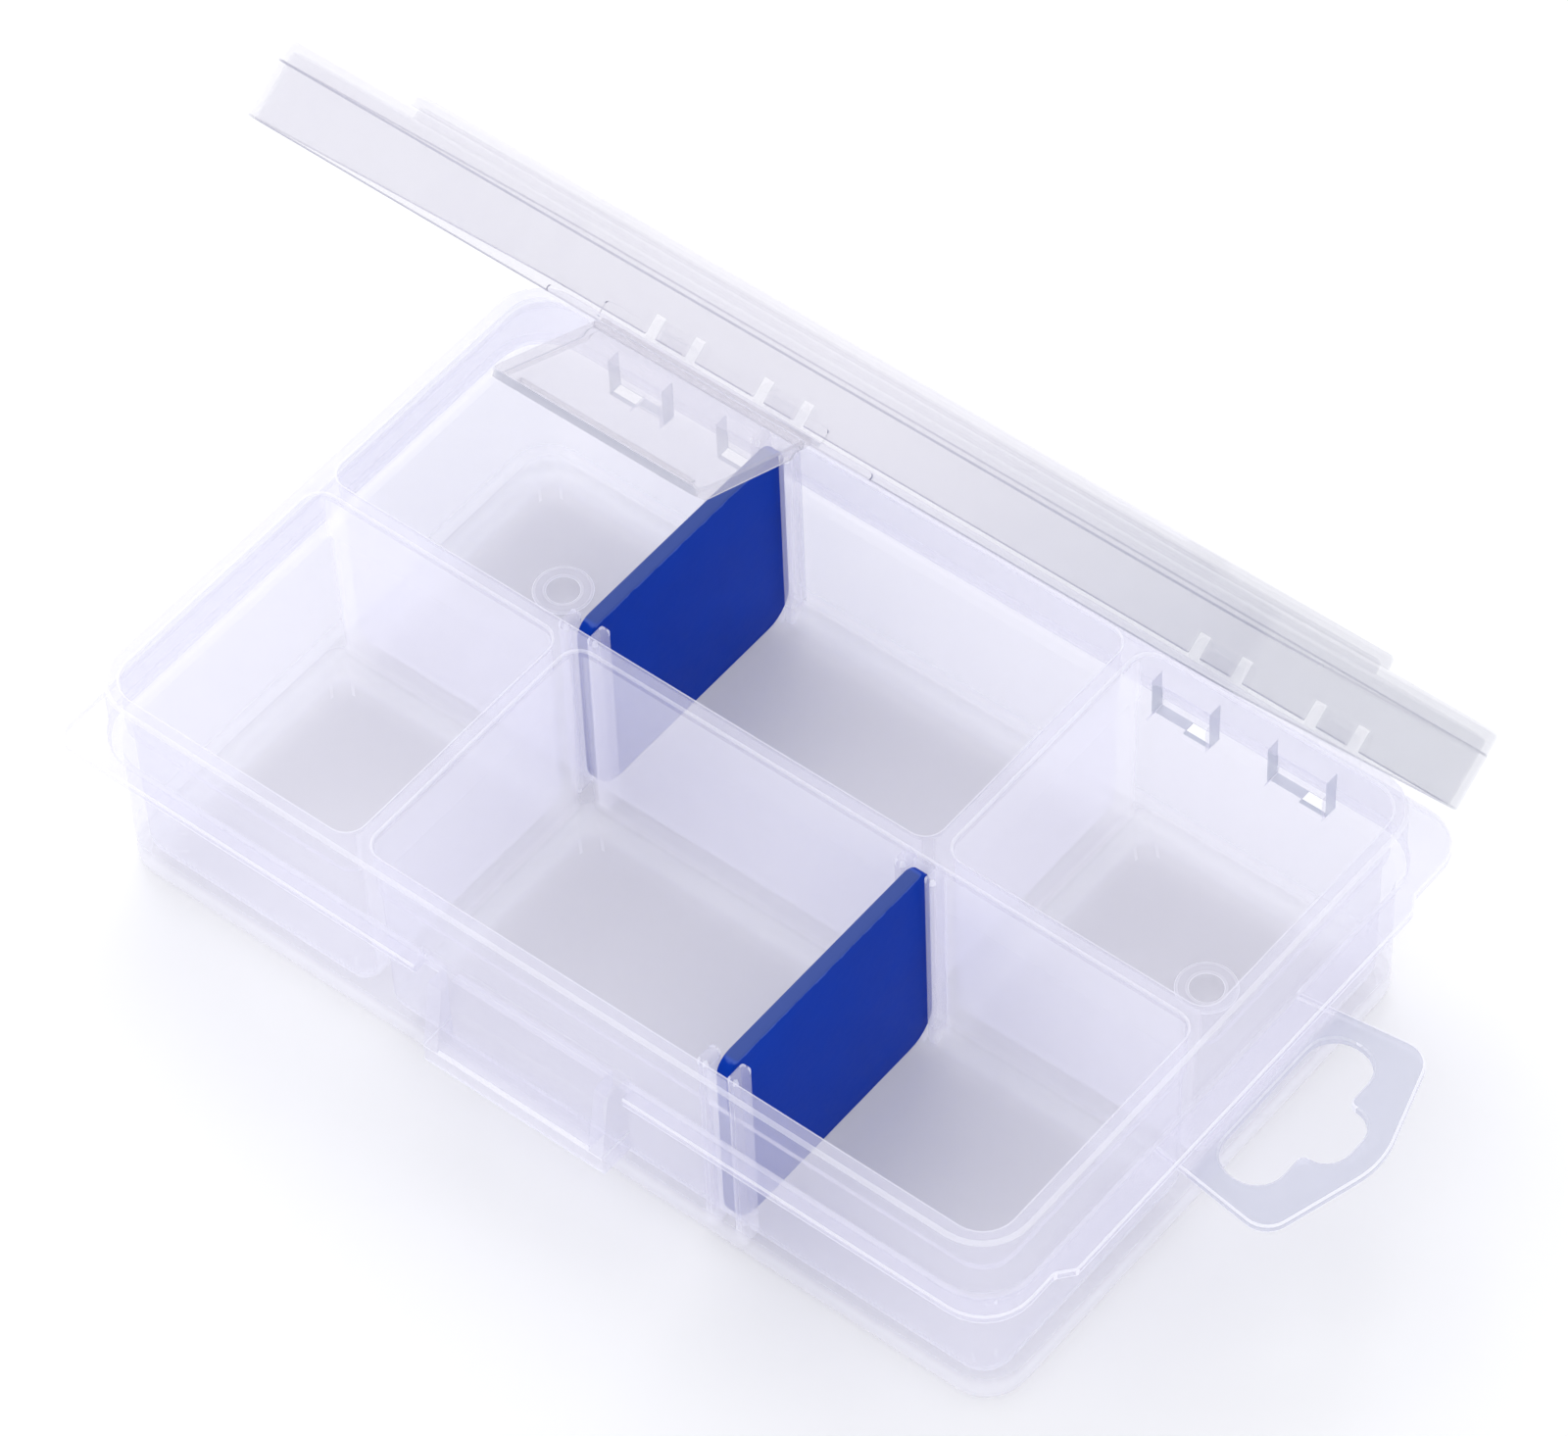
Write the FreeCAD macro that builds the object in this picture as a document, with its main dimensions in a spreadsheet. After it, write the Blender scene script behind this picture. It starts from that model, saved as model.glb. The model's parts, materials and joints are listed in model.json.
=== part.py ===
import FreeCAD, Part
import math
import os
import Sketcher

# Pocket tackle box: a tub with six compartments and two lift-out dividers, a hinged lid and a latch on
# a living hinge.  The origin is the centre of the tub's underside; +X runs to the right along the long
# side, +Y points back to the hinge and +Z up.  The lid and the latch are drawn about their own hinge
# lines, shut, and their placements open them.

SIZES = {
    # tub and rim
    "rim_length": 160.0,
    "rim_width": 97.5,
    "rim_height": 38.9,
    "rim_wall": 2.5,
    "rim_corner": 8.0,
    "tub_inset_side": 1.2,
    "tub_inset_front": 1.6,
    "tub_corner": 6.6,
    "tub_edge_round": 2.0,
    "floor_thickness": 1.8,
    "ledge_width": 0.7,
    "ledge_height": 29.7,
    "cavity_corner": 5.0,
    "bead_width": 0.5,
    "bead_height": 28.9,
    # flange round the rim
    "flange_height": 26.4,
    "flange_thickness": 1.6,
    "flange_front": 2.2,
    "flange_back": 6.7,
    "flange_left": 4.6,
    "flange_right": 3.9,
    "flange_front_right": 1.9,
    "flange_back_right": 2.4,
    "flange_step_front": 36.8,
    "flange_step_back": 40.8,
    "flange_ramp": 2.4,
    "flange_small_round": 3.5,
    "flange_large_round": 7.0,
    "flange_gap": 36.8,
    # fixed walls inside
    "partition": 2.6,
    "cell_offset": 31.5,
    # dividers and their guides
    "guide_thickness": 1.8,
    "guide_depth": 2.7,
    "guide_slot": 3.4,
    "divider_thickness": 2.3,
    "divider_play": 0.4,
    "divider_lift": 0.3,
    "divider_drop": 0.5,
    "divider_foot_round": 5.0,
    "divider_top_round": 3.0,
    # catch on the front wall
    "catch_width": 31.8,
    "catch_cheek": 2.4,
    "catch_front": 53.0,
    "catch_foot": 9.0,
    "catch_shelf": 13.0,
    "catch_nose_round": 0.8,
    "pocket_front": 49.5,
    "pocket_shelf": 19.8,
    # hanging tab on the right side
    "tab_thickness": 1.5,
    "tab_centre": 3.8,
    "tab_root_width": 32.4,
    "tab_width": 37.8,
    "tab_shoulder": 19.3,
    "tab_reach": 25.0,
    "tab_round": 4.0,
    "tab_nose_round": 14.0,
    "slot_start": 5.6,
    "slot_end": 15.4,
    "slot_length": 27.8,
    "slot_lobe_end": 20.4,
    "slot_lobe_width": 10.5,
    "slot_round": 4.8,
    # hinge
    "hinge_back": 56.0,
    "hinge_height": 30.0,
    "hinge_inner": 39.0,
    "hinge_outer": 59.0,
    "pin_radius": 1.2,
    "pin_play": 0.05,
    "knuckle_radius": 2.3,
    "knuckle_length": 5.0,
    "knuckle_mouth": 1.9,
    "ear_thickness": 1.6,
    "ear_play": 0.35,
    "window_width": 10.0,
    "window_bottom": 24.8,
    "window_top": 32.2,
    "tongue_radius": 2.7,
    "tongue_offset": 2.2,
    # lid, measured with the lid shut
    "lid_length": 165.0,
    "lid_front": 50.7,
    "lid_back": 54.65,
    "lid_bottom": 29.2,
    "lid_wall_height": 12.0,
    "lid_wall": 1.2,
    "lid_skin": 1.4,
    "lid_corner": 8.0,
    "panel_inset": 14.0,
    "panel_rise": 2.0,
    "panel_corner": 6.0,
    "lid_opening": 55.5,
    # latch, measured down from its hinge line
    "latch_width": 34.8,
    "latch_out": 0.6,
    "latch_thickness": 1.2,
    "latch_root": 1.5,
    "latch_bend": 24.2,
    "latch_length": 26.5,
    "latch_lip": 1.4,
    "hook_start": 20.8,
    "hook_end": 22.6,
    "hook_depth": 1.3,
    "hook_setback": 3.0,
    "side_thickness": 1.15,
    "side_depth": 0.9,
    "side_start": 3.0,
    "side_end": 24.0,
    "web_thickness": 0.4,
    "web_bead": 0.3,
    "latch_opening": 59.0,
}


def value_of(quantity):
    """The number behind a size or a plain number."""
    return quantity.value if isinstance(quantity, Size) else float(quantity)


def text_of(quantity):
    """The expression behind a size or a plain number."""
    return quantity.text if isinstance(quantity, Size) else f"({float(quantity)!r})"


class Size:
    """A length known both as a number and as the sheet expression that gives it."""

    def __init__(self, value, text):
        self.value = value
        self.text = text

    def combined(self, value, sign, first, second):
        return Size(value, f"({text_of(first)} {sign} {text_of(second)})")

    def __add__(self, other):
        return self.combined(self.value + value_of(other), "+", self, other)

    def __radd__(self, other):
        return self + other

    def __sub__(self, other):
        return self.combined(self.value - value_of(other), "-", self, other)

    def __rsub__(self, other):
        return self.combined(value_of(other) - self.value, "-", other, self)

    def __mul__(self, other):
        return self.combined(self.value * value_of(other), "*", self, other)

    def __rmul__(self, other):
        return self * other

    def __truediv__(self, other):
        return self.combined(self.value / value_of(other), "/", self, other)

    def __neg__(self):
        return self * -1


doc = FreeCAD.newDocument("TackleBox")
sheet = doc.addObject("Spreadsheet::Sheet", "Sizes")
for row, (alias, number) in enumerate(SIZES.items(), start=1):
    sheet.set(f"A{row}", alias)
    sheet.set(f"B{row}", str(number))
    sheet.setAlias(f"B{row}", alias)
doc.recompute()


def size(alias):
    return Size(float(sheet.get(alias)), f"Sizes.{alias}")


# ---------------------------------------------------------------- drawing helpers

def block(name, across, along, upward):
    """A box between a low and a high bound on each axis."""
    box = doc.addObject("Part::Box", name)
    bounds = (("Length", "x", across), ("Width", "y", along), ("Height", "z", upward))
    for extent, axis, (low, high) in bounds:
        box.setExpression(extent, text_of(high - low))
        box.setExpression(f"Placement.Base.{axis}", text_of(low))
    return box


def cylinder(name, turn, start, length, radius):
    """A cylinder of some length from its starting point, turned off the Z axis."""
    round_bar = doc.addObject("Part::Cylinder", name)
    round_bar.Placement.Rotation = turn
    round_bar.setExpression("Radius", text_of(radius))
    round_bar.setExpression("Height", text_of(length))
    for axis, place in zip("xyz", start):
        round_bar.setExpression(f"Placement.Base.{axis}", text_of(place))
    return round_bar


def rod(name, across, along, upward, radius):
    """A cylinder along X between two bounds, centred on (along, upward)."""
    low, high = across
    return cylinder(name, FreeCAD.Rotation(FreeCAD.Vector(0, 1, 0), 90), (low, along, upward), high - low, radius)


def stud(name, across, along, upward, radius):
    """A cylinder along Y between two bounds, centred on (across, upward)."""
    low, high = along
    return cylinder(name, FreeCAD.Rotation(FreeCAD.Vector(1, 0, 0), -90), (across, low, upward), high - low, radius)


def cut(name, base, tool):
    result = doc.addObject("Part::Cut", name)
    result.Base = base
    result.Tool = tool
    return result


def common(name, base, tool):
    result = doc.addObject("Part::Common", name)
    result.Base = base
    result.Tool = tool
    return result


def fuse(name, parts):
    result = doc.addObject("Part::MultiFuse", name)
    result.Shapes = parts
    return result


def group(name, parts):
    """Separate solids that share one node."""
    result = doc.addObject("Part::Compound", name)
    result.Links = parts
    return result


def origin_plane(body, role):
    return next(feature for feature in body.Origin.OriginFeatures if feature.Role == role)


def pin_point(sketch, geometry, vertex, corner, label):
    """Holds a vertex at its place across and up the sketch, measured from the origin."""
    for kind, axis_line, place in (("DistanceX", -2, corner[0]), ("DistanceY", -1, corner[1])):
        if abs(value_of(place)) < 1e-9:
            sketch.addConstraint(Sketcher.Constraint("PointOnObject", geometry, vertex, axis_line))
            continue
        if value_of(place) > 0:
            ends = (-1, 1, geometry, vertex)
            length = place
        else:
            ends = (geometry, vertex, -1, 1)
            length = place * -1
        index = sketch.addConstraint(Sketcher.Constraint(kind, *ends, value_of(length)))
        sketch.renameConstraint(index, f"{label}_{kind}")
        sketch.setExpression(f"Constraints.{label}_{kind}", text_of(length))


def draw_outline(sketch, corners):
    """A closed outline, anticlockwise, through corners (across, up, radius); a radius of None stays sharp."""
    points = [FreeCAD.Vector(value_of(across), value_of(up), 0) for across, up, _ in corners]
    count = len(points)
    entries = []
    exits = []
    for index, (across, up, radius) in enumerate(corners):
        before = (points[index - 1] - points[index]).normalize()
        after = (points[(index + 1) % count] - points[index]).normalize()
        setback = 0.0 if radius is None else value_of(radius) / math.tan(before.getAngle(after) / 2)
        entries.append(points[index] + before * setback)
        exits.append(points[index] + after * setback)
    lines = []
    for index in range(count):
        following = entries[(index + 1) % count]
        lines.append(sketch.addGeometry(Part.LineSegment(exits[index], following)))
    for index, (across, up, radius) in enumerate(corners):
        arriving = lines[index - 1]
        leaving = lines[index]
        label = f"corner{index}"
        if radius is None:
            sketch.addConstraint(Sketcher.Constraint("Coincident", arriving, 2, leaving, 1))
            pin_point(sketch, leaving, 1, corners[index], label)
            continue
        entry = entries[index]
        leave = exits[index]
        inward = ((entry + leave) * 0.5 - points[index]).normalize()
        half_angle = (entry - points[index]).getAngle(inward)
        centre = points[index] + inward * (value_of(radius) / math.sin(half_angle))
        turn = (points[index] - points[index - 1]).cross(points[(index + 1) % count] - points[index]).z
        first, last = (entry, leave) if turn > 0 else (leave, entry)
        start = math.atan2(first.y - centre.y, first.x - centre.x)
        stop = math.atan2(last.y - centre.y, last.x - centre.x)
        circle = Part.Circle(centre, FreeCAD.Vector(0, 0, 1), value_of(radius))
        arc = sketch.addGeometry(Part.ArcOfCircle(circle, start, stop))
        near, far = (1, 2) if turn > 0 else (2, 1)
        sketch.addConstraint(Sketcher.Constraint("Tangent", arriving, 2, arc, near))
        sketch.addConstraint(Sketcher.Constraint("Tangent", arc, far, leaving, 1))
        radius_index = sketch.addConstraint(Sketcher.Constraint("Radius", arc, value_of(radius)))
        sketch.renameConstraint(radius_index, f"{label}_radius")
        sketch.setExpression(f"Constraints.{label}_radius", text_of(radius))
        tip = sketch.addGeometry(Part.Point(points[index]), True)
        sketch.addConstraint(Sketcher.Constraint("PointOnObject", tip, 1, arriving))
        sketch.addConstraint(Sketcher.Constraint("PointOnObject", tip, 1, leaving))
        pin_point(sketch, tip, 1, corners[index], label)


def sketched(body, name, plane, offset, corners):
    sketch = body.newObject("Sketcher::SketchObject", f"{name}_sketch")
    sketch.AttachmentSupport = [(origin_plane(body, plane), "")]
    sketch.MapMode = "FlatFace"
    sketch.setExpression("AttachmentOffset.Base.z", text_of(offset))
    draw_outline(sketch, corners)
    return sketch


def pad(body, name, plane, bounds, corners):
    """Material between two bounds along the plane's normal."""
    low, high = bounds
    feature = body.newObject("PartDesign::Pad", name)
    feature.Profile = sketched(body, name, plane, low, corners)
    feature.setExpression("Length", text_of(high - low))
    doc.recompute()
    return feature


def pocket(body, name, plane, bounds, corners):
    """A recess between two bounds along the plane's normal, cut down from the high one."""
    low, high = bounds
    before = body.Shape.Volume
    feature = body.newObject("PartDesign::Pocket", name)
    feature.Profile = sketched(body, name, plane, high, corners)
    feature.setExpression("Length", text_of(high - low))
    doc.recompute()
    if not body.Shape.Volume < before - 1.0:
        raise RuntimeError(f"{name} cuts nothing")
    return feature


def new_body(name):
    return doc.addObject("PartDesign::Body", name)


def rectangle(across, along, radius):
    """Corners of a rounded rectangle between two bounds each way."""
    return [
        (across[0], along[0], radius),
        (across[1], along[0], radius),
        (across[1], along[1], radius),
        (across[0], along[1], radius),
    ]


def both_ways(half):
    return (-half, half)


# ---------------------------------------------------------------- sizes worked out from the sheet

rim_x = size("rim_length") / 2
rim_y = size("rim_width") / 2
rim_top = size("rim_height")
rim_inner_x = rim_x - size("rim_wall")
rim_inner_y = rim_y - size("rim_wall")
inner_x = rim_inner_x - size("ledge_width")
inner_y = rim_inner_y - size("ledge_width")
tub_x = rim_x - size("tub_inset_side")
tub_y = rim_y - size("tub_inset_front")
floor_top = size("floor_thickness")
ledge = size("ledge_height")
flange_top = size("flange_height")
flange_bottom = flange_top - size("flange_thickness")
corner_x = rim_x - size("rim_corner")
corner_y = rim_y - size("rim_corner")
nothing = size("rim_height") * 0

nodes = []


def node(name, shape):
    """Marks an object as a finished sub-part under its own name."""
    shape.Label = name
    nodes.append(shape)
    return shape


# ---------------------------------------------------------------- tub and rim

shell = new_body("base_shell")
pad(shell, "tub", "XY_Plane", (nothing, flange_bottom),
    rectangle(both_ways(tub_x), both_ways(tub_y), size("tub_corner")))
pad(shell, "rim", "XY_Plane", (flange_bottom, rim_top),
    rectangle(both_ways(rim_x), both_ways(rim_y), size("rim_corner")))
pad(shell, "bead", "XY_Plane", (flange_top, size("bead_height")),
    rectangle(both_ways(rim_x + size("bead_width")), both_ways(rim_y + size("bead_width")), size("rim_corner")))
pocket(shell, "cavity", "XY_Plane", (floor_top, rim_top),
       rectangle(both_ways(inner_x), both_ways(inner_y), size("cavity_corner")))
upper = pocket(shell, "rim_cavity", "XY_Plane", (ledge, rim_top),
               rectangle(both_ways(rim_inner_x), both_ways(rim_inner_y), size("cavity_corner")))
foot_edges = [
    f"Edge{index}"
    for index, edge in enumerate(upper.Shape.Edges, start=1)
    if edge.BoundBox.ZMax < 1e-6
]
foot_round = shell.newObject("PartDesign::Fillet", "foot_round")
foot_round.Base = (upper, foot_edges)
foot_round.setExpression("Radius", text_of(size("tub_edge_round")))
doc.recompute()

# The moulding is one shell, divided where its walls meet so that each stretch is a simple shape.
outer = 100
middle_x = both_ways(corner_x)
middle_y = both_ways(corner_y)
right_end = (corner_x, corner_x + outer)
left_end = (-corner_x - outer, -corner_x)
back_end = (corner_y, corner_y + outer)
front_end = (-corner_y - outer, -corner_y)
wall_rise = (floor_top, rim_top)


def section(name, source, across, along, upward):
    return common(name, source, block(f"{name}_bounds", across, along, upward))


node("tub_floor", section("tub_floor", shell, both_ways(rim_x), both_ways(rim_y), (nothing, floor_top)))
front_blank = section("front_wall_blank", shell, middle_x, front_end, wall_rise)
bead_gap = block("bead_gap", both_ways(size("flange_gap") / 2), (-rim_y - outer, -rim_y),
                 (flange_top, size("bead_height")))
node("front_wall", cut("front_wall", front_blank, bead_gap))
node("left_wall", section("left_wall", shell, left_end, middle_y, wall_rise))
node("right_wall", section("right_wall", shell, right_end, middle_y, wall_rise))
node("corner_walls", group("corner_walls", [
    section(f"corner_{front_name}_{side_name}", shell, across, along, wall_rise)
    for side_name, across in (("left", left_end), ("right", right_end))
    for front_name, along in (("front", front_end), ("back", back_end))
]))

stations = [
    sign * size(alias)
    for sign in (-1, 1)
    for alias in ("hinge_inner", "hinge_outer")
]


def window(index, x):
    """A window through the back wall with a half-round tongue standing up from its sill."""
    half_width = size("window_width") / 2
    inward = 1 if x.value < 0 else -1
    opening = block(f"window_{index}", (x - half_width, x + half_width), back_end,
                    (size("window_bottom"), size("window_top")))
    tongue = stud(f"tongue_{index}", x + inward * size("tongue_offset"), back_end,
                  size("window_bottom"), size("tongue_radius"))
    return cut(f"window_shape_{index}", opening, tongue)


windows = fuse("hinge_windows", [window(index, x) for index, x in enumerate(stations)])
back_blank = section("back_wall_blank", shell, middle_x, back_end, wall_rise)
node("back_wall", cut("back_wall", back_blank, windows))

# ---------------------------------------------------------------- fixed walls, guides and dividers

half_partition = size("partition") / 2
lower_rise = (floor_top, rim_top)
upper_rise = (ledge, rim_top)


def ledged(name, lower_across, lower_along, upper_across, upper_along):
    """A wall that widens above the ledge to meet the rim's inner face."""
    return fuse(name, [
        block(f"{name}_lower", lower_across, lower_along, lower_rise),
        block(f"{name}_upper", upper_across, upper_along, upper_rise),
    ])


node("centre_wall", ledged("centre_wall", both_ways(inner_x), both_ways(half_partition),
                           both_ways(rim_inner_x), both_ways(half_partition)))


def span(side, near, far):
    """Bounds between two distances from the centre line, on the front (-1) or back (+1) side."""
    return (near, far) if side > 0 else (-far, -near)


def make_row(row_name, side):
    """The cross wall, divider guides and divider of one row of compartments."""
    cross_x = side * size("cell_offset")
    cross_across = (cross_x - half_partition, cross_x + half_partition)
    node(f"{row_name}_cross_wall", ledged(
        f"{row_name}_cross_wall",
        cross_across, span(side, half_partition, inner_y),
        cross_across, span(side, half_partition, rim_inner_y)))

    divider_x = -side * size("cell_offset")
    slot_half = size("guide_slot") / 2
    guides = []
    for hand in (-1, 1):
        near_x = divider_x + hand * slot_half
        far_x = divider_x + hand * (slot_half + size("guide_thickness"))
        across = (near_x, far_x) if hand > 0 else (far_x, near_x)
        outer_start = inner_y - size("guide_depth")
        guides.append(ledged(f"{row_name}_outer_guide_{hand + 1}",
                             across, span(side, outer_start, inner_y),
                             across, span(side, outer_start, rim_inner_y)))
        guides.append(block(f"{row_name}_inner_guide_{hand + 1}", across,
                            span(side, half_partition, half_partition + size("guide_depth")), lower_rise))
    node(f"{row_name}_divider_guides", group(f"{row_name}_divider_guides", guides))

    play = size("divider_play")
    low_y, high_y = span(side, half_partition + play, inner_y - play)
    foot = floor_top + size("divider_lift")
    top = rim_top - size("divider_drop")
    half_thickness = size("divider_thickness") / 2
    divider = new_body(f"{row_name}_divider")
    pad(divider, f"{row_name}_divider_plate", "YZ_Plane",
        (divider_x - half_thickness, divider_x + half_thickness), [
            (low_y, foot, size("divider_foot_round")),
            (high_y, foot, size("divider_foot_round")),
            (high_y, top, size("divider_top_round")),
            (low_y, top, size("divider_top_round")),
        ])
    node(f"{row_name}_divider", divider)


make_row("back", 1)
make_row("front", -1)

# ---------------------------------------------------------------- flange

flange_front_y = -rim_y - size("flange_front")
flange_back_y = rim_y + size("flange_back")
flange_left_x = -rim_x - size("flange_left")
flange_right_x = rim_x + size("flange_right")
front_right_x = rim_x + size("flange_front_right")
back_right_x = rim_x + size("flange_back_right")
step_front = -size("flange_step_front")
step_back = size("flange_step_back")
half_ramp = size("flange_ramp") / 2

flange = new_body("flange")
pad(flange, "flange_plate", "XY_Plane", (flange_bottom, flange_top), [
    (flange_left_x, flange_front_y, size("flange_small_round")),
    (front_right_x, flange_front_y, size("rim_corner")),
    (front_right_x, step_front - half_ramp, None),
    (flange_right_x, step_front + half_ramp, None),
    (flange_right_x, step_back - half_ramp, None),
    (back_right_x, step_back + half_ramp, None),
    (back_right_x, flange_back_y, size("flange_large_round")),
    (flange_left_x, flange_back_y, size("flange_large_round")),
])
pocket(flange, "rim_hole", "XY_Plane", (flange_bottom, flange_top),
       rectangle(both_ways(rim_x), both_ways(rim_y), size("rim_corner")))

flange_rise = (flange_bottom, flange_top)
whole_x = both_ways(rim_x + outer)
front_strip = section("front_flange_blank", flange, whole_x, (-rim_y - outer, -rim_y), flange_rise)
latch_gap = block("latch_gap", both_ways(size("flange_gap") / 2), (-rim_y - outer, -rim_y), flange_rise)
node("front_flange", cut("front_flange", front_strip, latch_gap))
node("back_flange", section("back_flange", flange, whole_x, (rim_y, rim_y + outer), flange_rise))
node("left_flange", section("left_flange", flange, (-rim_x - outer, -rim_x), both_ways(rim_y), flange_rise))
node("right_flange", section("right_flange", flange, (rim_x, rim_x + outer), both_ways(rim_y), flange_rise))
node("flange_corners", section("flange_corners", flange, both_ways(rim_x), both_ways(rim_y), flange_rise))

# ---------------------------------------------------------------- catch for the latch

catch_x = size("catch_width") / 2
catch_front = -size("catch_front")
catch_shelf = size("catch_shelf")
bar = new_body("catch_bar")
pad(bar, "catch_bar_pad", "YZ_Plane", both_ways(catch_x), [
    (catch_front, size("catch_foot"), size("catch_nose_round")),
    (-tub_y, size("catch_foot"), None),
    (-tub_y, catch_shelf, None),
    (catch_front, catch_shelf, size("catch_nose_round")),
])
node("catch_bar", bar)

cheek_corners = [
    (catch_front, catch_shelf, None),
    (-tub_y, catch_shelf, None),
    (-tub_y, flange_bottom, None),
    (flange_front_y, flange_bottom, None),
]
cheeks = []
for side_name, sign in (("left", -1), ("right", 1)):
    inner_face = sign * (catch_x - size("catch_cheek"))
    outer_face = sign * catch_x
    cheek = new_body(f"catch_cheek_{side_name}")
    bounds = (inner_face, outer_face) if sign > 0 else (outer_face, inner_face)
    pad(cheek, f"cheek_{side_name}_pad", "YZ_Plane", bounds, cheek_corners)
    cheeks.append(cheek)
node("catch_cheeks", group("catch_cheeks", cheeks))
node("catch_pocket_back", block("catch_pocket_back", both_ways(catch_x - size("catch_cheek")),
                                (-size("pocket_front"), -tub_y), (catch_shelf, size("pocket_shelf"))))

# ---------------------------------------------------------------- hanging tab

tab_y = size("tab_centre")
root = size("tab_root_width") / 2
shoulder = size("tab_width") / 2
tab_bounds = (flange_bottom - size("tab_thickness"), flange_bottom)
tab = new_body("hang_tab")
pad(tab, "tab_plate", "XY_Plane", tab_bounds, [
    (tub_x, tab_y - root, None),
    (rim_x + size("tab_shoulder"), tab_y - shoulder, size("tab_round")),
    (rim_x + size("tab_reach"), tab_y, size("tab_nose_round")),
    (rim_x + size("tab_shoulder"), tab_y + shoulder, size("tab_round")),
    (tub_x, tab_y + root, None),
])
half_slot = size("slot_length") / 2
half_lobe = size("slot_lobe_width") / 2
slot_middle = rim_x + (size("slot_start") + size("slot_end")) / 2
pocket(tab, "hang_slot", "XY_Plane", tab_bounds,
       rectangle((rim_x + size("slot_start"), rim_x + size("slot_end")),
                 (tab_y - half_slot, tab_y + half_slot), size("slot_round")))
pocket(tab, "hang_lobe", "XY_Plane", tab_bounds,
       rectangle((slot_middle - size("slot_round"), rim_x + size("slot_lobe_end")),
                 (tab_y - half_lobe, tab_y + half_lobe), size("slot_round")))
node("hang_tab", tab)

# ---------------------------------------------------------------- hinge on the base

hinge_y = size("hinge_back")
hinge_z = size("hinge_height")
half_knuckle = size("knuckle_length") / 2
ear_start = half_knuckle + size("ear_play")
ear_end = ear_start + size("ear_thickness")
knuckle_radius = size("knuckle_radius")

ears = []
pins = []
for index, station in enumerate(stations):
    for hand in (-1, 1):
        near_x = station + hand * ear_start
        far_x = station + hand * ear_end
        across = (near_x, far_x) if hand > 0 else (far_x, near_x)
        name = f"ear_{index}_{hand + 1}"
        ears.append(fuse(name, [
            block(f"{name}_foot", across, (hinge_y - knuckle_radius, flange_back_y), (flange_top, hinge_z)),
            rod(f"{name}_head", across, hinge_y, hinge_z, knuckle_radius),
        ]))
    pins.append(rod(f"pin_{index}", (station - ear_start, station + ear_start),
                    hinge_y, hinge_z, size("pin_radius")))
node("hinge_ears", group("hinge_ears", ears))
node("hinge_pins", group("hinge_pins", pins))

# ---------------------------------------------------------------- lid, drawn shut about its hinge line

lid_x = size("lid_length") / 2
lid_front_y = -size("lid_front") - hinge_y
lid_back_y = size("lid_back") - hinge_y
lid_low = size("lid_bottom") - hinge_z
lid_top = lid_low + size("lid_wall_height")
lid_wall = size("lid_wall")
inset = size("panel_inset")
panel_top = lid_top + size("panel_rise")
lid_inside = lid_top - size("lid_skin")
lid_outline_y = (lid_front_y, lid_back_y)

lid_shell = new_body("lid_shell")
pad(lid_shell, "lid_block", "XY_Plane", (lid_low, lid_top),
    rectangle(both_ways(lid_x), lid_outline_y, size("lid_corner")))
pad(lid_shell, "lid_panel_rise", "XY_Plane", (lid_top, panel_top),
    rectangle(both_ways(lid_x - inset), (lid_front_y + inset, lid_back_y - inset), size("panel_corner")))
pocket(lid_shell, "lid_hollow", "XY_Plane", (lid_low, lid_inside),
       rectangle(both_ways(lid_x - lid_wall), (lid_front_y + lid_wall, lid_back_y - lid_wall),
                 size("lid_corner") - lid_wall))
panel_inner = inset + lid_wall
pocket(lid_shell, "panel_hollow", "XY_Plane", (lid_inside, lid_inside + size("panel_rise")),
       rectangle(both_ways(lid_x - panel_inner), (lid_front_y + panel_inner, lid_back_y - panel_inner),
                 size("panel_corner") - lid_wall))

lid_corner_x = lid_x - size("lid_corner")
lid_middle_x = both_ways(lid_corner_x)
lid_middle_y = (lid_front_y + size("lid_corner"), lid_back_y - size("lid_corner"))
lid_left = (-lid_corner_x - outer, -lid_corner_x)
lid_right = (lid_corner_x, lid_corner_x + outer)
lid_front_end = (lid_middle_y[0] - outer, lid_middle_y[0])
lid_back_end = (lid_middle_y[1], lid_middle_y[1] + outer)
lid_rise = (lid_low, lid_inside)

notches = []
for index, station in enumerate(stations):
    for hand in (-1, 1):
        near_x = station + hand * half_knuckle
        far_x = station + hand * (ear_end + size("ear_play"))
        across = (near_x, far_x) if hand > 0 else (far_x, near_x)
        notches.append(block(f"notch_{index}_{hand + 1}", across, lid_back_end,
                             (lid_low, knuckle_radius + size("ear_play"))))
back_skirt_blank = section("lid_back_blank", lid_shell, lid_middle_x, lid_back_end, lid_rise)

knuckles = []
for index, station in enumerate(stations):
    across = (station - half_knuckle, station + half_knuckle)
    barrel = rod(f"barrel_{index}", across, nothing, nothing, knuckle_radius)
    hollow = fuse(f"hollow_{index}", [
        rod(f"bore_{index}", across, nothing, nothing, size("pin_radius") + size("pin_play")),
        block(f"mouth_{index}", across, both_ways(size("knuckle_mouth") / 2), (-knuckle_radius * 2, nothing)),
        block(f"skirt_side_{index}", across, (lid_back_y - outer, lid_back_y), both_ways(knuckle_radius * 2)),
    ])
    knuckles.append(cut(f"knuckle_{index}", barrel, hollow))

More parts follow.
